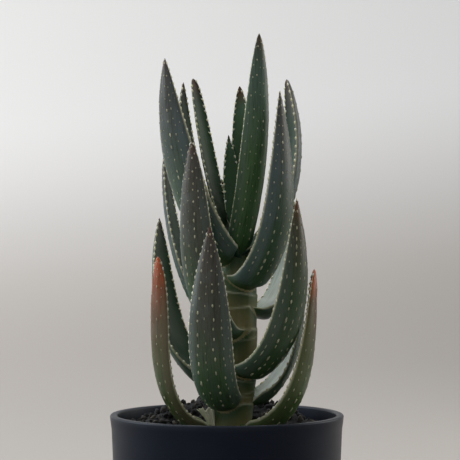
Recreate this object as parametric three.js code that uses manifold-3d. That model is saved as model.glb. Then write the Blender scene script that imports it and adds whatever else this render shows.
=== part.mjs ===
// A potted kokerboom: a young tree aloe with toothed, channelled leaves on one upright stem, in a round pot.
// Millimetres, +Z up. The origin is on the pot's axis, where the pot stands. -Y is the front.

import * as THREE from 'three';
import { mergeVertices } from 'three/addons/utils/BufferGeometryUtils.js';
import Module from 'manifold-3d';

const wasm = await Module();
wasm.setup();

// Pot
const POT_HEIGHT = 130;
const POT_RIM_RADIUS = 70;
const POT_BASE_RADIUS = 64;
const POT_WALL = 3.8;
const POT_FLOOR = 5;
const LIP_HEIGHT = 5;
const LIP_STEP = 0.6;
const FOOT_WIDTH = 9;
const FOOT_RECESS = 1.5;
const EDGE_ROUND = 3;
const POT_SIDES = 48;

// Soil: low in front and round the stem, heaped behind it, with lumps all over
const SOIL_FRONT = 118.5;
const SOIL_BACK = 134;
const SOIL_EDGE = 121;
const HEAP_START = 0;
const HEAP_FULL = 34;
const EDGE_START = 36;
const LUMP_HEIGHT = 4.5;
const LUMP_COUNT = 60;
const LUMP_SPREAD = 5.5;
const HOLLOW_SHARE = 0.25;
const SCATTER_STEP = 12.9898;
const SCATTER_SCALE = 43758.5453;
const GOLDEN_ANGLE = Math.PI * (3 - Math.sqrt(5));
const SOIL_CLEARANCE = 0.45;
const SOIL_RINGS = 8;
const SOIL_SIDES = 36;

// Stem
const STEM_FOOT = 84;
const STEM_TOP = 242;
const STEM_RADIUS = 13;
const CROWN_START = 204;
const CROWN_RADIUS = 3;
const SHEATH_STEP = 0.7;
const SHEATH_DROP = 4;
const SHEATH_APART = 2;
const STEM_SIDES = 18;
const CROWN_STATIONS = 5;
const LEAN_START = 124;
const LEAN_HEIGHT = 40;
const LEAN_FOOT = 1.8;
const LEAN_TRAVEL = 3;

// Leaves
const LEAF_THICKNESS = 0.27;
const TIP_THICKNESS = 0.3;
const THINNING = 0.9;
const OUTER_SHARE = 0.75;
const OUTER_FULLNESS = 0.6;
const CHANNEL_ANGLE = 30;
const CLASP_ANGLE = 80;
const CLASP_REACH = 0.10;
const FULL_WIDTH_FROM_TIP = 0.62;
const BASE_NARROWING = 0.10;
const ROOT_SUNK = 2;
const ROOT_DEPTH = 9;
const TIP_WIDTH = 1.2;
const LEAF_STATIONS = 11;
const LEAF_SIDES = 12;
const STATION_EASE = 1.25;
const MIDLINE_STEPS = 5;

// Teeth on the margins and raised dots on the outer face
const TOOTH_LENGTH = 1.8;
const TOOTH_WIDTH = 2;
const TOOTH_PITCH = 8.5;
const TOOTH_LEAN = 0.35;
const FIRST_TOOTH = 12;
const DOT_RADIUS = 0.9;
const DOT_HEIGHT = 0.6;
const DOT_SUNK = 0.8;
const DOT_OFFSET = 0.45;
const FIRST_DOT = 3;
const DOT_STEP = 2;
const DOT_SIDES = 4;

// Clearance between pieces that touch on the real plant
const GAP = 0.35;

// Points nearer than this are one point, and numbers nearer than this are alike
const SAME_POINT = 1e-4;
const SAME = 1e-6;

// Each leaf, oldest first: its heading round the stem (0 is +X, -90 the front), the height of its node, its
// length and width, its slope where it leaves the stem and at its tip, how early it bends up, how far its
// heading turns by the tip, and how sharply it tapers. Angles in degrees, lengths in millimetres.
const LEAVES = [
  ['leaf_01', -22, 120.5, 115, 31, 1, 87, 3.1, 24, 0.6],
  ['leaf_02', -175, 121, 119, 22.5, 1, 91, 3.6, 41, 0.62],
  ['leaf_03', -106.5, 137, 125, 27.5, 2, 97, 2.6, 10, 0.86],
  ['leaf_04', 18, 137, 88, 24, 11, 83, 2.8, -11, 0.86],
  ['leaf_05', 84, 143, 98, 22, 22, 92, 2.4, 6, 0.8],
  ['leaf_06', 152, 147, 117, 26.5, 18, 91, 2.1, -9, 0.8],
  ['leaf_07', -48, 154, 123, 27.5, 13, 94, 2.1, 9, 0.87],
  ['leaf_08', 164, 178, 115, 20.5, 51, 88, 1.4, -2, 0.66],
  ['leaf_09', 106, 172, 104, 23, 50, 92, 2.2, -6, 0.8],
  ['leaf_10', -122, 175, 128, 25, 31, 90, 2.4, -1, 0.73],
  ['leaf_11', 28, 188.5, 84, 25, 2, 89, 2.8, 7, 0.84],
  ['leaf_12', -48, 206.5, 125, 28.5, 29, 95, 2.6, 24, 0.9],
  ['leaf_13', -144, 221, 131, 32.5, 44, 88.5, 1.35, 3.5, 0.85],
  ['leaf_14', 13, 222, 119, 28.5, 40, 105, 1.3, 2, 0.57],
  ['leaf_15', -64, 225.5, 134, 19, 63, 94, 1.0, 3, 0.67],
  ['leaf_16', 156, 231, 108, 23, 42, 94, 1.4, -5, 0.8],
  ['leaf_17', 146, 232, 105, 14.5, 64, 78, 2.6, -4, 0.42],
  ['leaf_18', 68, 239, 91, 15.5, 56, 101, 1.9, -2, 0.64],
  ['leaf_19', 105, 244, 55, 12, 73, 83, 1.4, 11, 0.9],
];

const finish = (color, roughness) => new THREE.MeshStandardMaterial({ color, roughness, metalness: 0 });
const POT_FINISH = finish(0x1c2026, 0.5);
const SOIL_FINISH = finish(0x241f1b, 0.95);
const STEM_FINISH = finish(0x6a6444, 0.7);
const LEAF_FINISH = finish(0x3a463c, 0.5);

const radians = THREE.MathUtils.degToRad;

// A solid for cutting and joining, from a closed geometry: one point at each corner, no flat triangles
function toSolid(geometry) {
  const bare = geometry.clone();
  bare.deleteAttribute('normal');
  bare.deleteAttribute('uv');
  const merged = mergeVertices(bare, SAME_POINT);
  const corners = merged.index.array;
  const triangles = [];
  for (let i = 0; i < corners.length; i += 3) {
    const [a, b, c] = [corners[i], corners[i + 1], corners[i + 2]];
    if (a !== b && b !== c && c !== a) {
      triangles.push(a, b, c);
    }
  }
  const mesh = new wasm.Mesh({
    numProp: 3,
    vertProperties: new Float32Array(merged.attributes.position.array),
    triVerts: new Uint32Array(triangles),
  });
  return new wasm.Manifold(mesh);
}

function toGeometry(solid) {
  const mesh = solid.getMesh();
  const geometry = new THREE.BufferGeometry();
  geometry.setAttribute('position', new THREE.BufferAttribute(mesh.vertProperties, 3));
  geometry.setIndex(new THREE.BufferAttribute(mesh.triVerts, 1));
  geometry.computeVertexNormals();
  return geometry;
}

// A closed skin of stations and sides, each point of it placed by a rule
function shapedSkin(sides, stations, place) {
  const skin = new THREE.CylinderGeometry(1, 1, 1, sides, stations);
  skin.deleteAttribute('normal');
  skin.deleteAttribute('uv');
  const merged = mergeVertices(skin, SAME_POINT);
  const points = merged.attributes.position;
  for (let i = 0; i < points.count; i += 1) {
    const along = points.getY(i) + 0.5;
    const reach = Math.hypot(points.getX(i), points.getZ(i));
    const angle = Math.atan2(points.getX(i), points.getZ(i));
    const placed = place(along, angle, reach);
    points.setXYZ(i, placed.x, placed.y, placed.z);
  }
  return merged;
}

// The stem's axis stands a little right of the pot's and leans over as it rises
function stemCentre(z) {
  const t = THREE.MathUtils.smoothstep(z, LEAN_START, LEAN_START + LEAN_HEIGHT);
  return LEAN_FOOT + LEAN_TRAVEL * t;
}

function stemRadius(z) {
  const t = THREE.MathUtils.smoothstep(z, CROWN_START, STEM_TOP);
  return THREE.MathUtils.lerp(STEM_RADIUS, CROWN_RADIUS, t);
}

// Heights and radii up the stem: every leaf's sheath ends in a small step at its node
function stemStations() {
  const stations = [[STEM_FOOT, STEM_RADIUS]];
  const nodes = LEAVES.map((leaf) => leaf[2]).filter((z) => z < CROWN_START).sort((a, b) => a - b);
  const apart = nodes.filter((z, i) => i === 0 || z - nodes[i - 1] > SHEATH_APART);
  for (const z of apart) {
    stations.push([z - SHEATH_DROP, STEM_RADIUS + SHEATH_STEP]);
    stations.push([z - SHEATH_DROP + 1, STEM_RADIUS]);
  }
  for (let i = 0; i <= CROWN_STATIONS; i += 1) {
    const z = THREE.MathUtils.lerp(CROWN_START, STEM_TOP, i / CROWN_STATIONS);
    stations.push([z, stemRadius(z)]);
  }
  return stations;
}

function stemGeometry(grow) {
  const stations = stemStations();
  const last = stations.length - 1;
  return shapedSkin(STEM_SIDES, last, (along, angle, reach) => {
    const index = Math.round(along * last);
    const [z, radius] = stations[index];
    const end = { 0: -grow, [last]: grow }[index] ?? 0;
    const r = reach * (radius + grow);
    return new THREE.Vector3(stemCentre(z) + r * Math.sin(angle), -r * Math.cos(angle), z + end);
  });
}

// One leaf's measures by name, with the frames of its midline: where it is, which way it runs, its crosswise
// direction and the direction of its channelled inner face
function makeLeaf([name, heading, node, length, width, rise, tipRise, curl, turn, taper]) {
  const frameAt = (s, centre) => {
    const slope = radians(tipRise - (tipRise - rise) * (1 - s) ** curl);
    const bearing = radians(heading + turn * s);
    const out = new THREE.Vector3(Math.cos(bearing), Math.sin(bearing), 0);
    const along = out.multiplyScalar(Math.cos(slope)).setZ(Math.sin(slope));
    const across = new THREE.Vector3(-Math.sin(bearing), Math.cos(bearing), 0);
    return { s, centre, along, across, inward: new THREE.Vector3().crossVectors(along, across) };
  };
  const start = radians(heading);
  const rootRadius = stemRadius(node) - ROOT_SUNK;
  const foot = new THREE.Vector3(rootRadius * Math.cos(start), rootRadius * Math.sin(start), node);
  foot.x += stemCentre(node);
  const first = frameAt(0, foot);
  const rootCentre = foot.clone().addScaledVector(first.along, -ROOT_DEPTH);
  const frames = [{ ...first, centre: rootCentre }, first];
  const centre = foot.clone();
  const fine = MIDLINE_STEPS * (LEAF_STATIONS - 1);
  let reached = 0;
  for (let i = 1; i <= fine; i += 1) {
    const s = (i / fine) ** STATION_EASE;
    const middle = frameAt((reached + s) / 2, null);
    centre.addScaledVector(middle.along, (s - reached) * length);
    reached = s;
    if (i % MIDLINE_STEPS === 0) {
      frames.push(frameAt(s, centre.clone()));
    }
  }
  return { name, length, width, taper, frames };
}

// A leaf is full at a point a little above its base, and narrows to its tip by a quarter of a sine
function widthAt(leaf, s) {
  const fromTip = 1 - s;
  if (fromTip < FULL_WIDTH_FROM_TIP) {
    const t = (fromTip / FULL_WIDTH_FROM_TIP) ** leaf.taper;
    return Math.max(leaf.width * Math.sin(Math.PI / 2 * t), TIP_WIDTH);
  }
  const t = (fromTip - FULL_WIDTH_FROM_TIP) / (1 - FULL_WIDTH_FROM_TIP);
  return leaf.width * (1 - BASE_NARROWING * t * t);
}

function thicknessAt(leaf, s) {
  const thinned = TIP_THICKNESS + (1 - TIP_THICKNESS) * (1 - s) ** THINNING;
  const slim = Math.min(1, widthAt(leaf, s) / (0.5 * leaf.width));
  return leaf.width * LEAF_THICKNESS * thinned * Math.sqrt(slim);
}

// A point of one cross-section, with the direction out of it: u runs from margin to margin, -1 to 1
function sectionPoint(leaf, frame, u, outer, grow) {
  const half = radians(CHANNEL_ANGLE + (CLASP_ANGLE - CHANNEL_ANGLE) * Math.exp(-frame.s / CLASP_REACH));
  const radius = widthAt(leaf, frame.s) / 2 / half;
  const isMargin = Math.abs(u) === 1;
  const angle = half * u * (isMargin ? 1 + grow / (radius * half) : 1);
  const normal = frame.across.clone().multiplyScalar(-Math.sin(angle));
  normal.addScaledVector(frame.inward, Math.cos(angle));
  const point = frame.centre.clone().addScaledVector(frame.across, radius * Math.sin(angle));
  point.addScaledVector(frame.inward, radius * (1 - Math.cos(angle)));
  const full = 1 - u * u;
  const thick = thicknessAt(leaf, frame.s);
  const lift = outer ? -OUTER_SHARE * thick * full ** OUTER_FULLNESS : (1 - OUTER_SHARE) * thick * full;
  const away = isMargin ? 0 : Math.sign(lift) * grow;
  return { point: point.addScaledVector(normal, lift + away), normal };
}

// Each side of a ring: u runs from margin to margin round the outer face, then back round the inner one
const RING = Array.from({ length: LEAF_SIDES }, (_, side) => {
  const angle = 2 * Math.PI * side / LEAF_SIDES;
  const u = Math.sin(angle);
  return { u: Math.abs(u) > 1 - SAME ? Math.sign(u) : u, outer: Math.cos(angle) > SAME };
});

// The teeth of one stretch of margin, as points along it: into each tooth, its tip and out of it
function toothPoints(leaf, index, u) {
  const [before, after] = [leaf.frames[index], leaf.frames[index + 1]];
  const stretch = (after.s - before.s) * leaf.length;
  const count = before.s * leaf.length < FIRST_TOOTH ? 0 : Math.max(1, Math.round(stretch / TOOTH_PITCH));
  const teeth = [];
  for (let i = 0; i < count; i += 1) {
    const middle = (i + 0.5) / count;
    const half = TOOTH_WIDTH / 2 / stretch;
    const { point: root, outward, along } = bladePoint(leaf, index, middle, u);
    const direction = outward.addScaledVector(along, TOOTH_LEAN).normalize();
    teeth.push({
      root,
      direction,
      into: bladePoint(leaf, index, middle - half, u).point,
      tip: root.clone().addScaledVector(direction, TOOTH_LENGTH),
      outOf: bladePoint(leaf, index, middle + half, u).point,
    });
  }
  return teeth;
}

// A closed blade: rings of points at its stations, with the teeth let into the two margins
function bladeGeometry(leaf, grow, keepTooth) {
  const points = [];
  const triangles = [];
  const addPoint = (point) => points.push(point) - 1;
  const rings = leaf.frames.map((frame) => {
    const end = frame.s === 1 ? grow : 0;
    return RING.map(({ u, outer }) => addPoint(
      sectionPoint(leaf, frame, u, outer, grow).point.addScaledVector(frame.along, end)));
  });
  // Triangles between a straight edge, low to high, and a chain of points that runs up beside it
  const fill = (low, high, chain, chainIsNext) => {
    const add = (a, b, c) => triangles.push(...(chainIsNext ? [a, b, c] : [a, c, b]));
    const half = Math.floor(chain.length / 2);
    for (let i = 0; i < chain.length - 1; i += 1) {
      add(i < half ? low : high, chain[i], chain[i + 1]);
    }
    add(low, chain[half], high);
  };
  for (let k = 0; k < rings.length - 1; k += 1) {
    const [low, high] = [rings[k], rings[k + 1]];
    RING.forEach(({ u }, side) => {
      const before = (side + LEAF_SIDES - 1) % LEAF_SIDES;
      const after = (side + 1) % LEAF_SIDES;
      const chain = [low[side], high[side]];
      if (Math.abs(u) === 1) {
        const teeth = toothPoints(leaf, k, u).filter(keepTooth);
        chain.splice(1, 0, ...teeth.flatMap(({ into, tip, outOf }) => [into, tip, outOf].map(addPoint)));
        fill(low[before], high[before], chain, true);
        fill(low[after], high[after], chain, false);
      } else if (Math.abs(RING[before].u) < 1) {
        fill(low[before], high[before], chain, true);
      }
    });
  }
  const close = (ring, frame, isTip) => {
    const middle = sectionPoint(leaf, frame, 0, true, 0).point.lerp(frame.centre, 0.5);
    const centre = addPoint(middle.addScaledVector(frame.along, isTip ? grow : 0));
    ring.forEach((point, side) => {
      const next = ring[(side + 1) % LEAF_SIDES];
      triangles.push(centre, ...(isTip ? [point, next] : [next, point]));
    });
  };
  close(rings[0], leaf.frames[0], false);
  close(rings.at(-1), leaf.frames.at(-1), true);
  const geometry = new THREE.BufferGeometry().setFromPoints(points);
  geometry.setIndex(triangles);
  return geometry;
}

// A point of the outer face or the margin between two stations, on the flat facet that joins them
function bladePoint(leaf, index, t, u) {
  const [before, after] = [leaf.frames[index], leaf.frames[index + 1]];
  const low = sectionPoint(leaf, before, u, true, 0);
  const high = sectionPoint(leaf, after, u, true, 0);
  const normal = low.normal.lerp(high.normal, t).normalize();
  const along = before.along.clone().lerp(after.along, t).normalize();
  const outward = new THREE.Vector3().crossVectors(normal, along).multiplyScalar(-Math.sign(u));
  return { point: low.point.lerp(high.point, t), normal, along, outward };
}

// A cone that stands out of a surface, its foot sunk below it
function spike(root, direction, radius, height, sunk, sides) {
  const cone = new THREE.ConeGeometry(radius, height + sunk, sides);
  cone.translate(0, (height + sunk) / 2 - sunk, 0);
  cone.applyQuaternion(new THREE.Quaternion().setFromUnitVectors(new THREE.Vector3(0, 1, 0), direction));
  cone.translate(root.x, root.y, root.z);
  return toSolid(cone);
}

// Raised dots on the outer face, left and right of its middle in turn
function leafDots(leaf, grow) {
  const dots = [];
  for (let index = FIRST_DOT; index < LEAF_STATIONS - 1; index += DOT_STEP) {
    const side = dots.length % 2 === 0 ? DOT_OFFSET : -DOT_OFFSET;
    const { point, normal } = bladePoint(leaf, index, 0.5, side);
    dots.push(spike(point, normal.negate(), DOT_RADIUS + grow, DOT_HEIGHT + grow, DOT_SUNK, DOT_SIDES));
  }
  return dots;
}

const potOutside = (height) => {
  const slope = (POT_RIM_RADIUS - LIP_STEP - POT_BASE_RADIUS) / POT_HEIGHT;
  return POT_BASE_RADIUS + slope * height;
};
const potInside = (height) => potOutside(height) - POT_WALL;

// An outline of radius and height turned round the pot's axis
function turned(outline, sides) {
  const points = outline.map(([radius, height]) => new THREE.Vector2(radius, height));
  return new THREE.LatheGeometry(points, sides).rotateX(Math.PI / 2);
}

// The pot's outline, from the middle of its underside round its foot, wall and rim to the middle of its floor
function potGeometry() {
  const outline = [];
  const arc = (radius, height, round, from, to, steps) => {
    for (let i = 0; i <= steps; i += 1) {
      const angle = radians(THREE.MathUtils.lerp(from, to, i / steps));
      outline.push([radius + round * Math.cos(angle), height + round * Math.sin(angle)]);
    }
  };
  const footInner = POT_BASE_RADIUS - EDGE_ROUND - FOOT_WIDTH;
  const lipFoot = POT_HEIGHT - LIP_HEIGHT;
  const rimRound = (POT_WALL + LIP_STEP) / 2;
  outline.push([0, FOOT_RECESS], [footInner - FOOT_RECESS, FOOT_RECESS], [footInner, 0]);
  arc(POT_BASE_RADIUS - EDGE_ROUND, EDGE_ROUND, EDGE_ROUND, -90, 0, 2);
  outline.push([potOutside(lipFoot - LIP_STEP), lipFoot - LIP_STEP], [POT_RIM_RADIUS, lipFoot]);
  arc(POT_RIM_RADIUS - rimRound, POT_HEIGHT - rimRound, rimRound, 0, 180, 4);
  outline.push([potInside(POT_FLOOR + EDGE_ROUND), POT_FLOOR + EDGE_ROUND]);
  outline.push([potInside(POT_FLOOR) - EDGE_ROUND, POT_FLOOR], [0, POT_FLOOR]);
  return turned(outline, POT_SIDES);
}

// Lumps in a golden spiral over the soil, some of them hollows
const lumps = Array.from({ length: LUMP_COUNT }, (_, i) => {
  const reach = potInside(SOIL_EDGE) * Math.sqrt((i + 0.5) / LUMP_COUNT);
  const share = Math.abs(Math.sin(i * SCATTER_STEP) * SCATTER_SCALE) % 1;
  return {
    x: reach * Math.cos(i * GOLDEN_ANGLE),
    y: reach * Math.sin(i * GOLDEN_ANGLE),
    height: LUMP_HEIGHT * (share - HOLLOW_SHARE),
  };
});

function soilHeight(x, y) {
  const heap = THREE.MathUtils.smoothstep(y, HEAP_START, HEAP_FULL);
  const edge = THREE.MathUtils.smoothstep(Math.hypot(x, y), EDGE_START, potInside(SOIL_EDGE));
  const ground = THREE.MathUtils.lerp(SOIL_FRONT, SOIL_BACK, heap);
  let height = THREE.MathUtils.lerp(ground, SOIL_EDGE, edge);
  for (const lump of lumps) {
    const away = Math.hypot(x - lump.x, y - lump.y) / LUMP_SPREAD;
    height += lump.height * Math.exp(-away * away);
  }
  return height;
}

// The soil fills the pot, its top raised and lowered by the rule for its height
function soilGeometry() {
  const floor = POT_FLOOR + GAP;
  const outline = [[0, floor], [potInside(POT_FLOOR) - EDGE_ROUND - SOIL_CLEARANCE, floor]];
  outline.push([potInside(POT_FLOOR + EDGE_ROUND) - SOIL_CLEARANCE, POT_FLOOR + EDGE_ROUND]);
  const wall = potInside(SOIL_EDGE) - SOIL_CLEARANCE;
  for (let i = SOIL_RINGS; i >= 0; i -= 1) {
    outline.push([wall * i / SOIL_RINGS, SOIL_EDGE]);
  }
  const soil = turned(outline, SOIL_SIDES);
  const points = soil.attributes.position;
  for (let i = 0; i < points.count; i += 1) {
    if (points.getZ(i) > SOIL_EDGE - 1) {
      points.setZ(i, soilHeight(points.getX(i), points.getY(i)));
    }
  }
  return soil;
}

// True where two solids' boxes meet, so that only neighbours are cut or tested
function boxesMeet(first, second) {
  const a = first.boundingBox();
  const b = second.boundingBox();
  return [0, 1, 2].every((axis) => a.min[axis] < b.max[axis] && b.min[axis] < a.max[axis]);
}

function cutClear(solid, neighbours) {
  let cleared = solid;
  for (const neighbour of neighbours) {
    if (boxesMeet(cleared, neighbour)) {
      cleared = cleared.subtract(neighbour);
    }
  }
  return cleared;
}

const touches = (solid, others) => others.some(
  (other) => boxesMeet(solid, other) && !solid.intersect(other).isEmpty());

// Every leaf ends on the stem, and an older one is cut back where a younger one stands in its base
const leaves = LEAVES.map(makeLeaf);
const stemSolid = toSolid(stemGeometry(0));
const stemSpace = toSolid(stemGeometry(GAP));
const spaces = leaves.map((leaf) => toSolid(bladeGeometry(leaf, GAP, () => false)));
const potSolid = toSolid(potGeometry());
const soilSolid = cutClear(toSolid(soilGeometry()), [stemSpace, ...spaces]);

const part = new THREE.Group();
part.name = 'potted_kokerboom';

function addPiece(name, solid, material) {
  const mesh = new THREE.Mesh(toGeometry(solid), material);
  mesh.name = name;
  part.add(mesh);
}

addPiece('pot', potSolid, POT_FINISH);
addPiece('soil', soilSolid, SOIL_FINISH);
addPiece('stem', stemSolid, STEM_FINISH);
leaves.forEach((leaf, i) => {
  const others = [stemSpace, soilSolid, ...spaces.filter((_, j) => j !== i)];
  const isClear = (space) => !touches(space, others);
  const toothIsClear = ({ root, direction }) => isClear(
    spike(root, direction, TOOTH_WIDTH / 2, TOOTH_LENGTH + GAP, 0, 3));
  const blade = toSolid(bladeGeometry(leaf, 0, toothIsClear));
  const dots = leafDots(leaf, 0);
  const dotSpaces = leafDots(leaf, GAP);
  const fused = dots.filter((_, k) => isClear(dotSpaces[k])).reduce((whole, dot) => whole.add(dot), blade);
  addPiece(leaf.name, cutClear(fused, [stemSpace, ...spaces.slice(i + 1)]), LEAF_FINISH);
});

export default part;
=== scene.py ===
"""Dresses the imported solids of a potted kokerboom: its pot, soil, sheathed stem and nineteen leaves.

Metres, +Z up, the pot's foot on the floor at the origin, the front at -Y.
"""

import functools
import math
import random
from dataclasses import dataclass

import bmesh
import bpy
from bpy.props import FloatProperty, FloatVectorProperty, IntProperty, PointerProperty
from mathutils import Matrix, Vector, noise


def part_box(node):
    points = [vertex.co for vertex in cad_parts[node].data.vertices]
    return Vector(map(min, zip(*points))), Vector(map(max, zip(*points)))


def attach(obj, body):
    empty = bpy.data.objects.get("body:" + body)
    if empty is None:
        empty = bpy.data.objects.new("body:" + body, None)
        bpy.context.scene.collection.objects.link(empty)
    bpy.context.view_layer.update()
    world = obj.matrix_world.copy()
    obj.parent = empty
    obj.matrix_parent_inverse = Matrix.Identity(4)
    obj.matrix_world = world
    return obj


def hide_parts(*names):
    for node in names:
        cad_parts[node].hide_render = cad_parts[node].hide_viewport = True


bl_info = {
    "name": "Potted kokerboom",
    "version": (1, 0, 0),
    "blender": (4, 5, 0),
    "location": "3D View > Sidebar > Kokerboom",
    "description": "Builds a potted young kokerboom with its soil, stem and leaves, and the studio round it",
    "category": "Add Mesh",
}

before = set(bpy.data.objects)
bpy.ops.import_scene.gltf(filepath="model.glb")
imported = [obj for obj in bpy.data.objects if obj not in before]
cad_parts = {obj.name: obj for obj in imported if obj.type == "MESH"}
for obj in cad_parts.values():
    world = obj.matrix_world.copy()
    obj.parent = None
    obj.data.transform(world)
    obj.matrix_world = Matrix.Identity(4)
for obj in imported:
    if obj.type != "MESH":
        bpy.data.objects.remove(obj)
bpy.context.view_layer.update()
POT_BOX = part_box("pot")
STEM_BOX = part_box("stem")
BODY = "root"

MM = 0.001
SAME = 1e-6
GOLDEN_ANGLE = math.pi * (3 - math.sqrt(5))


def shade(code):
    """A screen colour such as 8a8f70, as the linear red, green and blue that the shaders take."""
    channels = [int(code[i : i + 2], 16) / 255 for i in (0, 2, 4)]
    return tuple(c / 12.92 if c <= 0.04045 else ((c + 0.055) / 1.055) ** 2.4 for c in channels)


def lerp(a, b, t):
    return a + (b - a) * t


def smoothstep(x, start, end):
    t = min(1.0, max(0.0, (x - start) / (end - start)))
    return t * t * (3 - 2 * t)


# What the pieces share


def polar(radius, angle, z):
    """The point at that distance and in that direction from the upright axis."""
    return Vector((radius * math.cos(angle), radius * math.sin(angle), z))


def matrix_of(origin, x_axis, y_axis, z_axis):
    """The transform that carries the unit axes to these three, and the origin to that point."""
    turned = Matrix((x_axis, y_axis, z_axis)).transposed().to_4x4()
    turned.translation = origin
    return turned


def unit_tube(bm, sides, rows):
    """A capped tube of radius one, from half a unit below the origin to half above, in rows of faces."""
    bmesh.ops.create_cone(bm, cap_ends=True, segments=sides, radius1=1, radius2=1, depth=1)
    upright = [e for e in bm.edges if abs(e.verts[0].co.z - e.verts[1].co.z) > 0.5]
    bmesh.ops.subdivide_edges(bm, edges=upright, cuts=rows - 1, use_grid_fill=True)


def turn_outline(bm, outline, sides):
    """Spins an outline of radius and height round the pot's axis, and closes it at its poles."""
    verts = [bm.verts.new((radius, 0, z)) for radius, z in outline]
    edges = [bm.edges.new(pair) for pair in zip(verts, verts[1:])]
    bmesh.ops.spin(
        bm, geom=verts + edges, cent=(0, 0, 0), axis=(0, 0, 1), angle=2 * math.pi, steps=sides,
        use_merge=True)
    bmesh.ops.remove_doubles(bm, verts=bm.verts, dist=SAME)
    bmesh.ops.recalc_face_normals(bm, faces=bm.faces)


def add_bmesh(bm, extra):
    """Moves all of one bmesh into another."""
    mesh = bpy.data.meshes.new("extra")
    extra.to_mesh(mesh)
    extra.free()
    bm.from_mesh(mesh)
    bpy.data.meshes.remove(mesh)


def finished_piece(name, bm, materials, nodes):
    """Turns a bmesh into a smooth piece that stands for its nodes and rides with the part."""
    bmesh.ops.recalc_face_normals(bm, faces=bm.faces)
    mesh = bpy.data.meshes.new(name)
    bm.to_mesh(mesh)
    bm.free()
    for material in materials:
        mesh.materials.append(material)
    mesh.shade_smooth()
    piece = bpy.data.objects.new(name, mesh)
    bpy.context.scene.collection.objects.link(piece)
    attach(piece, BODY)
    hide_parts(*nodes)


# Leaves


@dataclass(frozen=True)
class Leaf:
    """One leaf, from the stem out: degrees for its angles, metres for its lengths."""

    name: str
    heading: float
    node: float
    length: float
    width: float
    rise: float
    tip_rise: float
    curl: float
    turn: float
    taper: float
    finish: str


# Oldest first. After the name come the heading round the stem (0 is +X, -90 the front), the height of the
# node, the length and the width in millimetres, the slope at the stem and at the tip, how early the leaf
# bends up, how far it turns, how sharply it tapers, and its finish. For the leaves that show, a scratch
# program fitted the numbers to the photograph's outlines. They were rounded, and some changed.
LEAVES = [
    Leaf(name, heading, node * MM, length * MM, width * MM, rise, tip_rise, curl, turn, taper, finish)
    for name, heading, node, length, width, rise, tip_rise, curl, turn, taper, finish in [
        ("leaf_01", -22, 120.5, 115, 31, 1, 87, 3.1, 24, 0.6, "amber"),
        ("leaf_02", -175, 121, 119, 22.5, 1, 91, 3.6, 41, 0.62, "sunburnt"),
        ("leaf_03", -106.5, 137, 125, 27.5, 2, 97, 2.6, 10, 0.86, "bronze"),
        ("leaf_04", 18, 137, 88, 24, 11, 83, 2.8, -11, 0.86, "bright"),
        ("leaf_05", 84, 143, 98, 22, 22, 92, 2.4, 6, 0.8, "glaucous"),
        ("leaf_06", 152, 147, 117, 26.5, 18, 91, 2.1, -9, 0.8, "shaded"),
        ("leaf_07", -48, 154, 123, 27.5, 13, 94, 2.1, 9, 0.87, "streaked"),
        ("leaf_08", 164, 178, 115, 20.5, 51, 88, 1.4, -2, 0.66, "glaucous"),
        ("leaf_09", 106, 172, 104, 23, 50, 92, 2.2, -6, 0.8, "glaucous"),
        ("leaf_10", -122, 175, 128, 25, 31, 90, 2.4, -1, 0.73, "bronze"),
        ("leaf_11", 28, 188.5, 84, 25, 2, 89, 2.8, 7, 0.84, "bright"),
        ("leaf_12", -48, 206.5, 125, 28.5, 29, 95, 2.6, 24, 0.9, "glaucous"),
        ("leaf_13", -144, 221, 131, 32.5, 44, 88.5, 1.35, 3.5, 0.85, "glaucous"),
        ("leaf_14", 13, 222, 119, 28.5, 40, 105, 1.3, 2, 0.57, "glaucous"),
        ("leaf_15", -64, 225.5, 134, 19, 63, 94, 1.0, 3, 0.67, "green"),
        ("leaf_16", 156, 231, 108, 23, 42, 94, 1.4, -5, 0.8, "shaded"),
        ("leaf_17", 146, 232, 105, 14.5, 64, 78, 2.6, -4, 0.42, "shaded"),
        ("leaf_18", 68, 239, 91, 15.5, 56, 101, 1.9, -2, 0.64, "young"),
        ("leaf_19", 105, 244, 55, 12, 73, 83, 1.4, 11, 0.9, "young"),
    ]
]

# How a leaf's section and outline run, as in the solids
LEAF_THICKNESS = 0.27
TIP_THICKNESS = 0.3
THINNING = 0.9
OUTER_SHARE = 0.75
OUTER_FULLNESS = 0.6
CHANNEL_ANGLE = math.radians(30)
CLASP_ANGLE = math.radians(80)
CLASP_REACH = 0.10
FULL_WIDTH_FROM_TIP = 0.62
BASE_NARROWING = 0.10
ROOT_SUNK = 2 * MM
ROOT_DEPTH = 9 * MM
TIP_WIDTH = 1.2 * MM
TIP_ROUND = 1.6 * MM
MIDLINE_STEPS = 240

# The skin's slow unevenness, where it ends short of the tip, where the margin's pale line starts, and how far
# apart the two faces lie in the place that the streaks and clouds are read at
UNEVEN = 0.22 * MM
UNEVEN_SCALE = 90
EVEN_TIP = 12 * MM
MARGIN_START = 0.955
FACE_OFFSET = 40

# Teeth. A pair named ALONG is the factor at the stem and at the tip, and a pair named DRAW is the least and
# the most of a random draw.
FIRST_TOOTH = 11 * MM
TIP_BARE = 1.2 * MM
TOOTH_SIDES = 8
TOOTH_SUNK = 0.3 * MM
TOOTH_FLATNESS = 0.6
TOOTH_BLUNTNESS = 0.2
TOOTH_LENGTH_ALONG = (1.0, 0.72)
TOOTH_LENGTH_DRAW = (0.65, 1.2)
TOOTH_PITCH_ALONG = (1.15, 0.7)
TOOTH_PITCH_DRAW = (0.75, 1.25)
TOOTH_LEAN_DRAW = (0.3, 0.75)
BULGE_CURVE = 1.4

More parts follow.
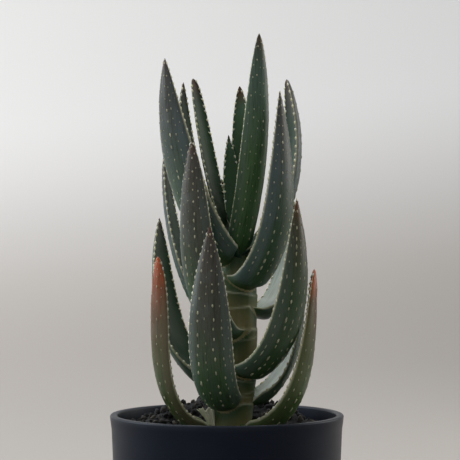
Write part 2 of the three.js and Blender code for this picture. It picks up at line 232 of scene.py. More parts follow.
# Dots, in the same way. A dot's start is in millimetres, and its stray and the end of its row are shares.
DOT_START_DRAW = (0, 6)
DOT_ROW_END = 0.985
DOT_STRAY_DRAW = (-0.035, 0.035)
DOT_PITCH_DRAW = (0.55, 1.5)
DOT_RADIUS_ALONG = (1.1, 0.85)
DOT_RADIUS_DRAW = (0.7, 1.15)
DOT_STRETCH_ALONG = (1.9, 0.9)
DOT_LEAST_STRETCH = 1.1
DOT_HEIGHT = 0.5
DOT_PALENESS_DRAW = (0.6, 1)

# The outer face grows out of the stem's skin: how far round the stem it does and how far below and above the
# node (as shares of the leaf's width), for the shrunken oldest leaves and for the others, from two heights of
# node. Behind the leaf the sheath's edge falls.
SHRUNK_FLARE = (math.radians(46), 0.2, 0.0)
FULL_FLARE = (math.radians(78), 0.12, 0.25)
SHRUNK_NODE = 138 * MM
FULL_NODE = 150 * MM
SHEATH_FALL = 3 * MM

# How far out it is free, how far its edge lies under the stem's skin, how hard it bends between, and how
# closely the inner face follows it near the margins alone
FLARE_REACH = 9 * MM
FLARE_SUNK = 0.25 * MM
FLARE_PULL = 1.1
INNER_FLARE_CURVE = 6


def flare_shape(node):
    """How far round the stem a leaf grows out of it, and how far below and above its node."""
    grown = smoothstep(node, SHRUNK_NODE, FULL_NODE)
    return [lerp(shrunk, full, grown) for shrunk, full in zip(SHRUNK_FLARE, FULL_FLARE)]


def sheath_edge(heading, node, width, angle):
    """Height at which a leaf's sheath ends on the stem at an angle: under, beside or behind the leaf."""
    turned = abs(math.remainder(angle - math.radians(heading), 2 * math.pi))
    half, drop, rise = flare_shape(node)
    beside = node + rise * width
    if turned < half:
        return lerp(node - drop * width, beside, (turned / half) ** 2)
    return beside - SHEATH_FALL * smoothstep(turned, half, math.pi)


class LeafForm:
    """Where the skin of a leaf lies, for any distance from its node and any place across it."""

    def __init__(self, leaf, stem):
        self.leaf = leaf
        self.stem = stem
        reach = stem_radius(stem, leaf.node) - ROOT_SUNK
        self.centres = [stem_point(stem, reach, math.radians(leaf.heading), leaf.node)]
        step = leaf.length / MIDLINE_STEPS
        for i in range(MIDLINE_STEPS):
            along = self.directions((i + 0.5) / MIDLINE_STEPS)[0]
            self.centres.append(self.centres[-1] + along * step)

    def directions(self, share):
        """Along the leaf, across it and out of its channelled inner face, at that share of its length."""
        leaf = self.leaf
        slope = math.radians(leaf.tip_rise - (leaf.tip_rise - leaf.rise) * (1 - share) ** leaf.curl)
        bearing = math.radians(leaf.heading + leaf.turn * share)
        level = math.cos(slope)
        along = Vector((level * math.cos(bearing), level * math.sin(bearing), math.sin(slope)))
        across = Vector((-math.sin(bearing), math.cos(bearing), 0))
        return along, across, along.cross(across)

    def centre(self, distance):
        """The midline's point at a distance from the node. Below nought it runs straight on into the stem."""
        if distance <= 0:
            return self.centres[0] + self.directions(0)[0] * distance
        place = min(distance / self.leaf.length, 1) * MIDLINE_STEPS
        step = min(int(place), MIDLINE_STEPS - 1)
        return self.centres[step].lerp(self.centres[step + 1], place - step)

    def width(self, share):
        from_tip = 1 - share
        if from_tip < FULL_WIDTH_FROM_TIP:
            t = (from_tip / FULL_WIDTH_FROM_TIP) ** self.leaf.taper
            return max(self.leaf.width * math.sin(math.pi / 2 * t), TIP_WIDTH)
        t = (from_tip - FULL_WIDTH_FROM_TIP) / (1 - FULL_WIDTH_FROM_TIP)
        return self.leaf.width * (1 - BASE_NARROWING * t * t)

    def thickness(self, share):
        thinned = TIP_THICKNESS + (1 - TIP_THICKNESS) * (1 - share) ** THINNING
        slim = min(1, self.width(share) / (0.5 * self.leaf.width))
        return self.leaf.width * LEAF_THICKNESS * thinned * math.sqrt(slim)

    @functools.lru_cache(maxsize=None)
    def section(self, distance):
        """What all points of a cross-section share: its frame, centre, half angle, radius and thickness."""
        share = min(1, max(0, distance / self.leaf.length))
        half = CHANNEL_ANGLE + (CLASP_ANGLE - CHANNEL_ANGLE) * math.exp(-share / CLASP_REACH)
        from_tip = self.leaf.length - distance
        closing = math.sqrt(max(0.02, 1 - max(0, 1 - from_tip / TIP_ROUND) ** 2))
        radius = self.width(share) * closing / 2 / half
        return *self.directions(share), self.centre(distance), half, radius, self.thickness(share) * closing

    def point(self, distance, u, outer):
        """A point of the skin and the inner face's direction there: u runs from margin to margin, -1 to 1."""
        _, across, inward, centre, half, radius, thick = self.section(distance)
        angle = half * u
        normal = inward * math.cos(angle) - across * math.sin(angle)
        point = centre + across * (radius * math.sin(angle)) + inward * (radius * (1 - math.cos(angle)))
        full = max(0, 1 - u * u)
        lift = -OUTER_SHARE * thick * full**OUTER_FULLNESS if outer else (1 - OUTER_SHARE) * thick * full
        return point + normal * lift, normal

    def outward(self, distance, side):
        """The direction out of a margin, level with the blade there."""
        along = self.section(distance)[0]
        normal = self.point(distance, side, True)[1]
        return normal.cross(along) * -side, along, normal

    def flare(self, distance, u):
        """A point of the curve that takes the outer face from the stem's skin to where the blade is free."""
        leaf = self.leaf
        angle = math.radians(leaf.heading) + flare_shape(leaf.node)[0] * u
        z = sheath_edge(leaf.heading, leaf.node, leaf.width, angle)
        start = stem_point(self.stem, stem_radius(self.stem, z) - FLARE_SUNK, angle, z)
        end = self.point(FLARE_REACH, u, True)[0]
        pull = (end - start).length * FLARE_PULL
        side = 1 if u > 0 else -1
        level = Vector((math.sin(angle), -math.cos(angle), 0)) * side
        leave = Vector((0, 0, 1)).lerp(level, u * u) * pull
        arrive = self.section(FLARE_REACH)[0] * pull
        t = (distance + ROOT_DEPTH) / (FLARE_REACH + ROOT_DEPTH)
        before = start + leave * (t * (1 - t) ** 2)
        after = arrive * (t * t * (t - 1))
        return before + (end - start) * (t * t * (3 - 2 * t)) + after


def tooth_places(form, side, sizes, rng):
    """Distances from the node to the teeth of one margin: closer and smaller towards the tip."""
    places = []
    distance = FIRST_TOOTH + rng.uniform(0, sizes.tooth_pitch)
    while distance < form.leaf.length - TIP_BARE:
        share = distance / form.leaf.length
        length = sizes.tooth_length * lerp(*TOOTH_LENGTH_ALONG, share) * rng.uniform(*TOOTH_LENGTH_DRAW)
        places.append((distance, length))
        distance += sizes.tooth_pitch * lerp(*TOOTH_PITCH_ALONG, share) * rng.uniform(*TOOTH_PITCH_DRAW)
    return places


class LeafMesh:
    """Builds one leaf: its blade, the teeth of its margins and the raised dots of its outer face."""

    def __init__(self, form, sizes, seed):
        self.form = form
        self.sizes = sizes
        self.rng = random.Random(seed)
        self.bm = bmesh.new()
        self.place = self.bm.verts.layers.float_vector.new("leaf_place")
        self.share = self.bm.verts.layers.float_vector.new("leaf_share")
        self.pale = self.bm.verts.layers.float.new("pale")
        self.sheath = self.bm.verts.layers.float.new("sheath")
        self.teeth = {side: tooth_places(form, side, sizes, self.rng) for side in (-1, 1)}

    def mark(self, vert, distance, u, inner, pale):
        leaf = self.form.leaf
        share = min(1, max(0, distance / leaf.length))
        across = u * self.form.width(share) / 2
        vert[self.place] = Vector((across / MM, distance / MM, inner * FACE_OFFSET))
        vert[self.share] = Vector((u, share, inner))
        vert[self.pale] = pale
        vert[self.sheath] = smoothstep(distance, FLARE_REACH, -ROOT_DEPTH)

    def bulge(self, distance, side):
        """How far the margin stands out to carry the nearest tooth."""
        most = 0
        for place, length in self.teeth[side]:
            away = abs(distance - place) / self.sizes.tooth_foot
            if away < 1:
                most = max(most, length * self.sizes.margin_bulge * (1 - away) ** BULGE_CURVE)
        return most

    def blade(self):
        """The closed skin, from a unit tube: its half with Y above nought becomes the outer face."""
        leaf = self.form.leaf
        unit_tube(self.bm, self.sizes.sides, round((leaf.length + ROOT_DEPTH) / self.sizes.row_length))
        for vert in self.bm.verts:
            distance = lerp(-ROOT_DEPTH, leaf.length, vert.co.z + 0.5)
            u = max(-1, min(1, vert.co.x))
            self.set_blade_vert(vert, distance, u, vert.co.y)

    def set_blade_vert(self, vert, distance, u, facing):
        """Moves one vertex of the unit skin to its place on the blade."""
        is_margin = abs(u) > 1 - SAME
        outer = facing > 0 and not is_margin
        point, normal = self.form.point(distance, u, outer)
        if distance < FLARE_REACH:
            flared = 1 if outer or is_margin else u**INNER_FLARE_CURVE
            point = point.lerp(self.form.flare(distance, u), flared)
        near_margin = smoothstep(abs(u), MARGIN_START, 1)
        if near_margin > 0 and distance > 0:
            side = 1 if u > 0 else -1
            outward = self.form.outward(distance, side)[0]
            point += outward * (self.bulge(distance, side) * near_margin)
        fade = smoothstep(self.form.leaf.length - distance, 0, EVEN_TIP)
        point += normal * (noise.noise(point * UNEVEN_SCALE) * UNEVEN * fade * (1 - near_margin))
        vert.co = point
        self.mark(vert, distance, u, 0 if facing > 0 else 1, self.sizes.margin_paleness * near_margin)

    def add_teeth(self):
        """Blunt translucent spines along both margins, leaning towards the tip."""
        foot = self.sizes.tooth_foot / 2
        for side, places in self.teeth.items():
            for distance, length in places:
                outward, along, normal = self.form.outward(distance, side)
                direction = (outward + along * self.rng.uniform(*TOOTH_LEAN_DRAW)).normalized()
                root = self.form.point(distance, side, True)[0]
                root += outward * (length * self.sizes.margin_bulge / 2 - TOOTH_SUNK)
                turned = matrix_of(
                    root, along * foot, normal * (foot * TOOTH_FLATNESS), direction * (length + TOOTH_SUNK))
                made = bmesh.ops.create_cone(
                    self.bm, cap_ends=True, segments=TOOTH_SIDES, radius1=1, radius2=TOOTH_BLUNTNESS,
                    depth=1, matrix=turned @ Matrix.Translation((0, 0, 0.5)))
                for vert in made["verts"]:
                    self.mark(vert, distance, side, 0, 1)
                    for face in vert.link_faces:
                        face.material_index = 1

    def add_dots(self, finish):
        """Dots in rows along the outer face, their spacing and length as the finish says."""
        leaf = self.form.leaf
        for row, strength in finish["dot_rows"]:
            distance = FIRST_TOOTH + self.rng.uniform(*DOT_START_DRAW) * MM
            while distance < leaf.length * DOT_ROW_END:
                u = row + self.rng.uniform(*DOT_STRAY_DRAW)
                self.add_dot(distance, u, strength, finish)
                distance += finish["dot_pitch"] * MM * self.rng.uniform(*DOT_PITCH_DRAW)

    def add_dot(self, distance, u, strength, finish):
        """A low oval bead, longer and larger near the stem, a faint one where its row is weak."""
        share = distance / self.form.leaf.length
        point, normal = self.form.point(distance, u, True)
        along = self.form.directions(share)[0]
        radius = self.sizes.dot_radius * self.rng.uniform(*DOT_RADIUS_DRAW) * strength
        radius *= lerp(*DOT_RADIUS_ALONG, share)
        stretch = self.rng.uniform(DOT_LEAST_STRETCH, finish["dot_stretch"]) * lerp(*DOT_STRETCH_ALONG, share)
        crosswise = normal.cross(along)
        lengthwise = crosswise.cross(normal)
        turned = matrix_of(
            point, lengthwise * (radius * stretch), crosswise * radius, normal * (radius * DOT_HEIGHT))
        made = bmesh.ops.create_icosphere(self.bm, subdivisions=1, radius=1, matrix=turned)
        paleness = self.rng.uniform(*DOT_PALENESS_DRAW) * finish["dot_paleness"] * min(1, strength)
        for vert in made["verts"]:
            self.mark(vert, distance, u, 0, paleness)


def add_leaf(leaf, settings, stem, materials, finish, seed):
    maker = LeafMesh(LeafForm(leaf, stem), settings, seed)
    maker.blade()
    maker.add_teeth()
    maker.add_dots(finish)
    name = leaf.name.replace("leaf", "blade")
    finished_piece(name, maker.bm, materials, [leaf.name])


# Stem

# A sheath's edge stands out by its step, thins downwards, and ends in a pale, uneven line that is palest
# beside its leaf. Its green fades downwards and round the stem. The starts are shares of how far round the
# leaf grows.
SHEATH_STEP = 0.6 * MM
SHEATH_MOST = 0.1
SHEATH_THINNING = 9 * MM
SHEATH_REACH = 40 * MM
SHEATH_UNEVEN = 0.5 * MM
RAGGED_SCALE = 2
RAGGED_SHIFT = 300
SHEATH_LINE = 0.8 * MM
LINE_START = 0.8
LINE_PALENESS = (0.6, 0.15)
SHEATH_GREEN = 13 * MM
GREEN_START = 0.6
GREEN_END = math.pi * 0.8
GREEN_ROUND = (1, 0.2)
RIB_HEIGHT = 0.1 * MM
RIBS_ROUND = 9
RIBS_UP = 25

# Sheaths left of leaves that have gone: their heading, the height of their node and their width
OLD_SHEATHS = ((170, 198 * MM, 22 * MM), (168, 142 * MM, 20 * MM))

# The dry flap at the stem's foot
FLAP_HEADING = math.radians(-142)
FLAP_FOOT = 120.5 * MM
FLAP_HEIGHT = 16.5 * MM
FLAP_LEAN = 0.4
FLAP_FOOT_WIDTH = 4 * MM
FLAP_TOP_WIDTH = 10.5 * MM
FLAP_THICKNESS = 0.4 * MM
FLAP_PLEAT = 0.5 * MM
FLAP_PLEATS = 13
FLAP_CURL = 0.6 * MM
FLAP_TEAR = 0.15
FLAP_TEAR_SCALE = 3.1
FLAP_TEAR_PLACE = 4.7
FLAP_PALENESS = (0.6, 1)
FLAP_COLUMNS = 28
FLAP_ROWS = 16


def stem_centre(stem, z):
    """How far right of the pot's axis the stem's own axis stands at a height."""
    return lerp(stem.lean_foot, stem.lean_top, smoothstep(z, stem.lean_start, stem.lean_end))


def stem_radius(stem, z):
    return lerp(stem.radius, stem.crown_radius, smoothstep(z, stem.crown_start, stem.top))


def stem_point(stem, radius, angle, z):
    """The point at that distance and in that direction from the stem's own axis."""
    return Vector((stem_centre(stem, z) + radius * math.cos(angle), radius * math.sin(angle), z))


def stem_relief(angle, z):
    """How far the sheaths stand out of the stem at a place, how pale their edge is and how green they are."""
    step = 0
    pale = 0
    fresh = 0
    sheaths = [(leaf.heading, leaf.node, leaf.width, True) for leaf in LEAVES]
    sheaths += [(*sheath, False) for sheath in OLD_SHEATHS]
    for heading, node, width, is_alive in sheaths:
        turned = abs(math.remainder(angle - math.radians(heading), 2 * math.pi))
        half = flare_shape(node)[0]
        ragged = noise.noise(polar(RAGGED_SCALE, angle, node * RAGGED_SHIFT)) * SHEATH_UNEVEN
        below = sheath_edge(heading, node, width, angle) + ragged - z
        if -SHEATH_LINE < below < SHEATH_REACH:
            beside = smoothstep(turned, half * LINE_START, half)
            line = max(0, 1 - abs(below) / SHEATH_LINE)
            pale = max(pale, line * beside * lerp(*LINE_PALENESS, smoothstep(turned, half, math.pi)))
            step = max(step, SHEATH_STEP * beside * math.exp(-max(0, below) / SHEATH_THINNING))
        if is_alive and 0 <= below < SHEATH_REACH:
            green = lerp(*GREEN_ROUND, smoothstep(turned, half * GREEN_START, GREEN_END))
            fresh = max(fresh, green * math.exp(-below / SHEATH_GREEN))
    return step, pale, fresh


def stem_bmesh(stem):
    bm = bmesh.new()
    place = bm.verts.layers.float_vector.new("stem_place")
    pale_layer = bm.verts.layers.float.new("pale")
    fresh_layer = bm.verts.layers.float.new("fresh")
    unit_tube(bm, stem.sides, round((stem.top - stem.foot) / stem.row_length))
    for vert in bm.verts:
        z = lerp(stem.foot, stem.top, vert.co.z + 0.5)
        angle = math.atan2(vert.co.y, vert.co.x)
        step, pale, fresh = stem_relief(angle, z)
        rib = noise.noise(polar(RIBS_ROUND, angle, z * RIBS_UP))
        radius = stem_radius(stem, z) + min(step, stem_radius(stem, z) * SHEATH_MOST) + rib * RIB_HEIGHT
        vert.co = stem_point(stem, radius, angle, z)
        vert[place] = polar(1, angle, z / MM)
        vert[pale_layer] = pale
        vert[fresh_layer] = fresh
    add_flap(bm, stem, place, pale_layer)
    return bm


def add_flap(bm, stem, place, pale_layer):
    """A dry, pleated remnant of a leaf that fans out from the stem's foot, its top edge torn."""
    flap = bmesh.new()
    bmesh.ops.create_grid(flap, x_segments=FLAP_COLUMNS, y_segments=FLAP_ROWS, size=1)
    for vert in flap.verts:
        u = vert.co.x
        rise = (vert.co.y + 1) / 2
        torn = 1 - FLAP_TEAR + FLAP_TEAR * noise.noise(Vector((u * FLAP_TEAR_SCALE, FLAP_TEAR_PLACE, 0)))
        z = FLAP_FOOT + FLAP_HEIGHT * rise * torn
        across = u * lerp(FLAP_FOOT_WIDTH, FLAP_TOP_WIDTH, rise) / 2
        out = stem.radius + FLAP_THICKNESS + FLAP_LEAN * FLAP_HEIGHT * rise * rise
        out += FLAP_PLEAT * math.sin(u * FLAP_PLEATS) * rise + FLAP_CURL * u * u * rise
        vert.co = stem_point(stem, out, FLAP_HEADING - across / stem.radius, z)
    bmesh.ops.solidify(flap, geom=flap.faces[:], thickness=FLAP_THICKNESS)
    bmesh.ops.recalc_face_normals(flap, faces=flap.faces)
    old = set(bm.verts)
    add_bmesh(bm, flap)
    for vert in bm.verts:
        if vert not in old:
            vert[place] = vert.co / MM
            dried = smoothstep(vert.co.z, FLAP_FOOT, FLAP_FOOT + FLAP_HEIGHT / 2)
            vert[pale_layer] = lerp(*FLAP_PALENESS, dried)


# Pot

# Faces up the lip and round its edges and the foot's, where the foot's arc ends in degrees, and how far below
# the rim there is dust
LIP_RINGS = 12
RIM_STEPS = 6
EDGE_STEPS = 8
EDGE_END = -3
DUSTY_RIM = 4 * MM


def pot_outside(pot, z):
    return lerp(pot.base_radius, pot.rim_radius - pot.lip_step, z / pot.height)


def pot_inside(pot, z):
    return pot_outside(pot, z) - pot.wall


def pot_outline(pot):
    """Radius and height, from the underside's middle round the foot, wall and rim to the floor's middle."""
    outline = []

    def arc(radius, z, size, start, end, steps):
        for i in range(steps + 1):
            angle = math.radians(lerp(start, end, i / steps))
            outline.append((radius + size * math.cos(angle), z + size * math.sin(angle)))

    foot_inner = pot.base_radius - pot.edge_round - pot.foot_width
    outline += [(0, pot.foot_recess), (foot_inner - pot.foot_recess, pot.foot_recess), (foot_inner, 0)]
    arc(pot.base_radius - pot.edge_round, pot.edge_round, pot.edge_round, -90, EDGE_END, EDGE_STEPS)
    lip_start = pot.height - pot.lip_height
    lip_full = pot.height - pot.rim_round
    for i in range(1, pot.wall_rings + 1):
        z = lerp(pot.edge_round, lip_start, i / pot.wall_rings)
        outline.append((pot_outside(pot, z), z))
    for i in range(1, LIP_RINGS):
        z = lerp(lip_start, lip_full, i / LIP_RINGS)
        outline.append((pot_outside(pot, z) + pot.lip_step * smoothstep(z, lip_start, lip_full), z))
    arc(pot.rim_radius - pot.rim_round, lip_full, pot.rim_round, 0, 90, RIM_STEPS)
    arc(pot_inside(pot, pot.height) + pot.rim_round, lip_full, pot.rim_round, 90, 180, RIM_STEPS)
    inner_foot = pot.floor + pot.edge_round
    for i in range(1, pot.wall_rings + 1):
        z = lerp(lip_full, inner_foot, i / pot.wall_rings)
        outline.append((pot_inside(pot, z), z))
    outline += [(pot_inside(pot, pot.floor) - pot.edge_round, pot.floor), (0, pot.floor)]
    return outline


# Soil

# The gaps to the pot, how many of the lumps are hollows, and the formula that scatters their heights
SOIL_CLEARANCE = 0.45 * MM
POT_FLOOR_GAP = 0.35 * MM
HOLLOW_SHARE = 0.25
SCATTER_STEP = 12.9898
SCATTER_SCALE = 43758.5453

# The fine grain of the top: the scales of its two layers, and the share of the finer one
GRAIN_SCALE = 300
FINE_GRAIN_SCALE = 700
FINE_GRAIN_SHARE = 0.5

# Crumbs: the spread of their sizes, kinds, lengths, widths and heights, how far they stand up, and how rough
# they are. Larger ones than COARSE_CRUMB have more faces.
CRUMB_BATCH = 50
CRUMB_SIZE_DRAW = (0.35, 1)
CRUMB_SIZE_CURVE = 1.5
CRUMB_KINDS = (0.6, 0.8, 1, 1.25)
CRUMB_STRETCH_DRAWS = ((0.8, 1.6), (0.7, 1.1), (0.45, 0.9))
CRUMB_RISE_DRAW = (0.0, 0.45)
CRUMB_ROUGHNESS = 0.55
CRUMB_ROUGHNESS_SCALE = 1.3
CRUMB_ROUGHNESS_SHIFT = 900
COARSE_CRUMB = 0.55

# Leaves with a lower node than this may touch the soil, and the inner share of each is kept clear of crumbs
LOW_NODE = 140 * MM
CLEAR_SHARE = 0.6
CLEAR_STEPS = 15


def soil_lumps(pot, soil):
    """Lumps in a golden spiral, some of them hollows: centre and height of each."""
    lumps = []
    for i in range(soil.lump_count):
        reach = pot_inside(pot, soil.edge) * math.sqrt((i + 0.5) / soil.lump_count)
        share = abs(math.sin(i * SCATTER_STEP) * SCATTER_SCALE) % 1
        x = reach * math.cos(i * GOLDEN_ANGLE)
        y = reach * math.sin(i * GOLDEN_ANGLE)
        lumps.append((x, y, soil.lump_height * (share - HOLLOW_SHARE)))
    return lumps


class SoilForm:
    """The height of the soil at any place in the pot."""

    def __init__(self, pot, soil):
        self.front, self.back, self.edge = soil.front, soil.back, soil.edge
        self.heap_end = soil.heap_end
        self.edge_start = soil.edge_start
        self.wall = pot_inside(pot, soil.edge)
        self.spread = soil.lump_spread
        self.lumps = soil_lumps(pot, soil)

    def height(self, x, y):
        ground = lerp(self.front, self.back, smoothstep(y, 0, self.heap_end))
        height = lerp(ground, self.edge, smoothstep(math.hypot(x, y), self.edge_start, self.wall))
        for lump_x, lump_y, lump in self.lumps:
            away = math.hypot(x - lump_x, y - lump_y) / self.spread
            height += lump * math.exp(-away * away)
        return height


def soil_bmesh(pot, soil):
    """The filling of the pot: an outline turned about its axis, its top then raised by the soil's height."""
    form = SoilForm(pot, soil)
    bm = bmesh.new()
    wall = form.wall - SOIL_CLEARANCE
    floor = pot.floor + POT_FLOOR_GAP
    foot = pot_inside(pot, pot.floor) - pot.edge_round - SOIL_CLEARANCE
    outline = [(0, floor), (foot, floor)]
    rings = round(wall / soil.grain)
    outline += [(wall * i / rings, form.edge) for i in range(rings, -1, -1)]
    turn_outline(bm, outline, soil.sides)
    for vert in bm.verts:
        if vert.co.z > form.edge - SAME:
            vert.co.z = form.height(vert.co.x, vert.co.y)
            grain = noise.noise(vert.co * GRAIN_SCALE)
            grain += FINE_GRAIN_SHARE * noise.noise(vert.co * FINE_GRAIN_SCALE)
            vert.co.z += grain * soil.roughness
    return bm, form


def add_crumbs(bm, soil, form, leaf_forms, stem):
    """Irregular crumbs and flat chips of bark, half sunk in the soil and clear of the stem and the leaves.

    They are made in batches, because a bmesh grows slower the more it holds.
    """
    rng = random.Random(soil.seed)
    bm.verts.layers.float.new("tone")
    low_leaves = [f for f in leaf_forms if f.leaf.node < LOW_NODE]
    for _ in range(0, soil.crumb_count, CRUMB_BATCH):
        batch = bmesh.new()
        add_crumb_batch(batch, soil, form, low_leaves, stem, rng)
        add_bmesh(bm, batch)


def add_crumb_batch(bm, soil, form, low_leaves, stem, rng):
    tone = bm.verts.layers.float.new("tone")
    for _ in range(CRUMB_BATCH):
        size = soil.crumb_size * rng.uniform(*CRUMB_SIZE_DRAW) ** CRUMB_SIZE_CURVE * rng.choice(CRUMB_KINDS)
        reach = (form.wall - SOIL_CLEARANCE - size) * math.sqrt(rng.random())
        bearing = rng.uniform(0, 2 * math.pi)
        x = reach * math.cos(bearing)
        y = reach * math.sin(bearing)
        turn = rng.uniform(0, 2 * math.pi)
        axis = Vector((rng.gauss(0, 1), rng.gauss(0, 1), 1))
        stretch = Matrix.Diagonal((*(rng.uniform(*draw) for draw in CRUMB_STRETCH_DRAWS), 1))
        crumb_tone = rng.random()
        centre = Vector((x, y, form.height(x, y) + size * rng.uniform(*CRUMB_RISE_DRAW)))
        if not is_clear(centre, size, low_leaves, stem):
            continue
        placed = Matrix.Translation(centre) @ Matrix.Rotation(turn, 4, axis) @ stretch
        fineness = 2 if size > COARSE_CRUMB * soil.crumb_size else 1
        made = bmesh.ops.create_icosphere(bm, subdivisions=fineness, radius=size, matrix=placed)
        for vert in made["verts"]:
            away = vert.co - centre
            wobble = noise.noise(away / size * CRUMB_ROUGHNESS_SCALE + centre * CRUMB_ROUGHNESS_SHIFT)
            vert.co = centre + away * (1 + CRUMB_ROUGHNESS * wobble)
            vert[tone] = crumb_tone


def is_clear(centre, size, leaf_forms, stem):
    """True where a crumb of that size touches neither the stem nor a low leaf."""
    if math.hypot(centre.x - stem.lean_foot, centre.y) < stem.radius + size:
        return False
    for form in leaf_forms:
        for step in range(CLEAR_STEPS + 1):
            share = step / CLEAR_STEPS * CLEAR_SHARE
            middle = form.centre(share * form.leaf.length)
            near = (middle.xy - centre.xy).length < form.width(share) / 2 + size
            if near and abs(middle.z - centre.z) < form.thickness(share) + size:
                return False
    return True


# Finishes


class Finish:
    """One material, built node by node. What is alike all over is set on the shader's own sockets."""

    def __init__(self, name, shader_values):
        self.material = bpy.data.materials.new(name)
        self.material.use_nodes = True
        self.tree = self.material.node_tree
        self.shader = self.tree.nodes["Principled BSDF"]
        for socket, value in shader_values.items():
            self.shader.inputs[socket].default_value = value

    def set_input(self, node, socket, value):
        """A socket takes another node's output, or a plain number or colour."""
        if isinstance(value, bpy.types.NodeSocket):
            self.tree.links.new(value, node.inputs[socket])
        elif hasattr(value, "__len__") and len(value) == 3 and len(node.inputs[socket].default_value) == 4:
            node.inputs[socket].default_value = (*value, 1)
        else:
            node.inputs[socket].default_value = value

    def attribute(self, name, output="Vector"):
        node = self.tree.nodes.new("ShaderNodeAttribute")
        node.attribute_name = name
        return node.outputs[output]

    def object_place(self):
        return self.tree.nodes.new("ShaderNodeTexCoord").outputs["Object"]

    def parts(self, vector):
        node = self.tree.nodes.new("ShaderNodeSeparateXYZ")
        self.set_input(node, 0, vector)
        return node.outputs

    def scaled(self, vector, scale):
        node = self.tree.nodes.new("ShaderNodeVectorMath")
        node.operation = "MULTIPLY"
        self.set_input(node, 0, vector)
        self.set_input(node, 1, scale)
        return node.outputs[0]

    def noise(self, vector, scale, detail=3.0, roughness=0.5):
        node = self.tree.nodes.new("ShaderNodeTexNoise")
        self.set_input(node, "Vector", vector)
        self.set_input(node, "Scale", scale)
        self.set_input(node, "Detail", detail)
        self.set_input(node, "Roughness", roughness)
        return node.outputs["Fac"]

    def cells(self, vector, scale):
        """Distance to the nearest of many scattered points."""
        node = self.tree.nodes.new("ShaderNodeTexVoronoi")
        self.set_input(node, "Vector", vector)
        self.set_input(node, "Scale", scale)
        return node.outputs["Distance"]

    def span(self, value, start, end, low=0.0, high=1.0):
        """A value's place between start and end, smoothed and turned into low to high."""
        node = self.tree.nodes.new("ShaderNodeMapRange")
        node.interpolation_type = "SMOOTHSTEP"
        for socket, number in zip(("Value", "From Min", "From Max", "To Min", "To Max"),
                                  (value, start, end, low, high)):
            self.set_input(node, socket, number)
        return node.outputs[0]

    def calc(self, operation, a, b):
        """One step of arithmetic on two values, such as ADD or MULTIPLY."""
        node = self.tree.nodes.new("ShaderNodeMath")
        node.operation = operation
        self.set_input(node, 0, a)
        self.set_input(node, 1, b)
        return node.outputs[0]

    def mix(self, share, first, second):
        """From the first colour to the second by a share."""
        node = self.tree.nodes.new("ShaderNodeMix")
        node.data_type = "RGBA"
        self.set_input(node, 0, share)
        self.set_input(node, 6, first)
        self.set_input(node, 7, second)
        return node.outputs[2]

    def ramp(self, value, stops):
        """A colour that follows a list of places and screen colours."""
        node = self.tree.nodes.new("ShaderNodeValToRGB")
        self.set_input(node, 0, value)
        elements = node.color_ramp.elements
        for i, (place, code) in enumerate(stops):
            element = elements[i] if i < len(elements) else elements.new(place)
            element.position = place
            element.color = (*shade(code), 1)
        return node.outputs[0]

    def bump(self, height, distance, strength=1.0):
        node = self.tree.nodes.new("ShaderNodeBump")
        self.set_input(node, "Height", height)
        self.set_input(node, "Distance", distance)
        self.set_input(node, "Strength", strength)
        self.tree.links.new(node.outputs["Normal"], self.shader.inputs["Normal"])

    def paint(self, colour, roughness=None):
        self.set_input(self.shader, "Base Color", colour)
        if roughness is not None:
            self.set_input(self.shader, "Roughness", roughness)
        return self.material
